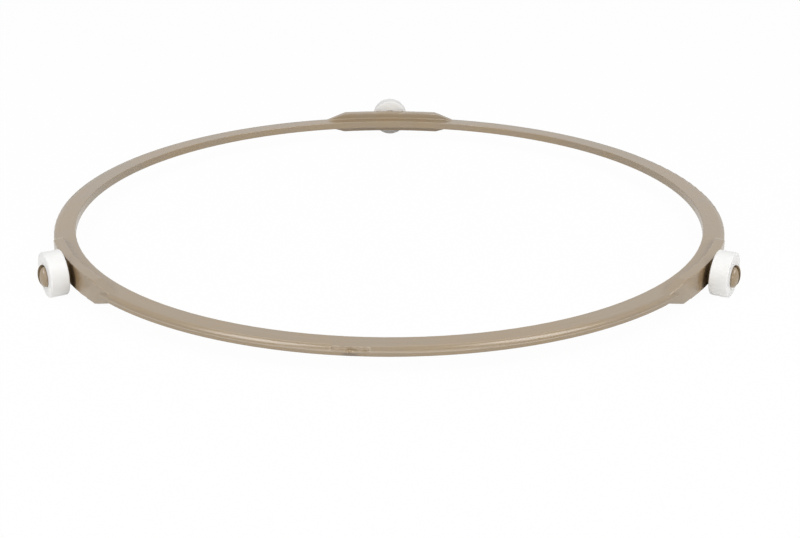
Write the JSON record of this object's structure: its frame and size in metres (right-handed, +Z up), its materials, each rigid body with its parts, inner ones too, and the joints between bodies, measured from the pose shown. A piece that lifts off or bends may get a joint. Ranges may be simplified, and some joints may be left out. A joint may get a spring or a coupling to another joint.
{
  "type": "microwave roller ring",
  "caption": "Moulded ring with upright webs whose split stub axles carry free plain rollers, on which a microwave's glass plate turns.",
  "frame": {"origin": "centre of the track circle on the oven floor, under the centre of the ring", "axes": "+Z up along the turning axis of the plate, +Y out along the rear stub axle, +X to the right as seen from the front"},
  "size_m": [0.2206, 0.23, 0.0137],
  "materials": {
    "ring_plastic": "satin moulded",
    "roller_plastic": "smooth moulded"
  },
  "bodies": {
    "frame": {"ring_frame": "ring_plastic"},
    "rear_roller": {"roller_rear": "roller_plastic"},
    "left_roller": {"roller_left": "roller_plastic"},
    "right_roller": {"roller_right": "roller_plastic"}
  },
  "joints": [
    {"name": "rear_spin", "type": "hinge", "parent": "frame", "child": "rear_roller", "pos_m": [0, 0.115, 0.00685], "axis": [0, 1, 0], "continuous": true},
    {"name": "left_spin", "type": "hinge", "parent": "frame", "child": "left_roller", "pos_m": [-0.09959, -0.0575, 0.00685], "axis": [-0.866, -0.5, 0], "continuous": true},
    {"name": "right_spin", "type": "hinge", "parent": "frame", "child": "right_roller", "pos_m": [0.09959, -0.0575, 0.00685], "axis": [0.866, -0.5, 0], "continuous": true}
  ]
}
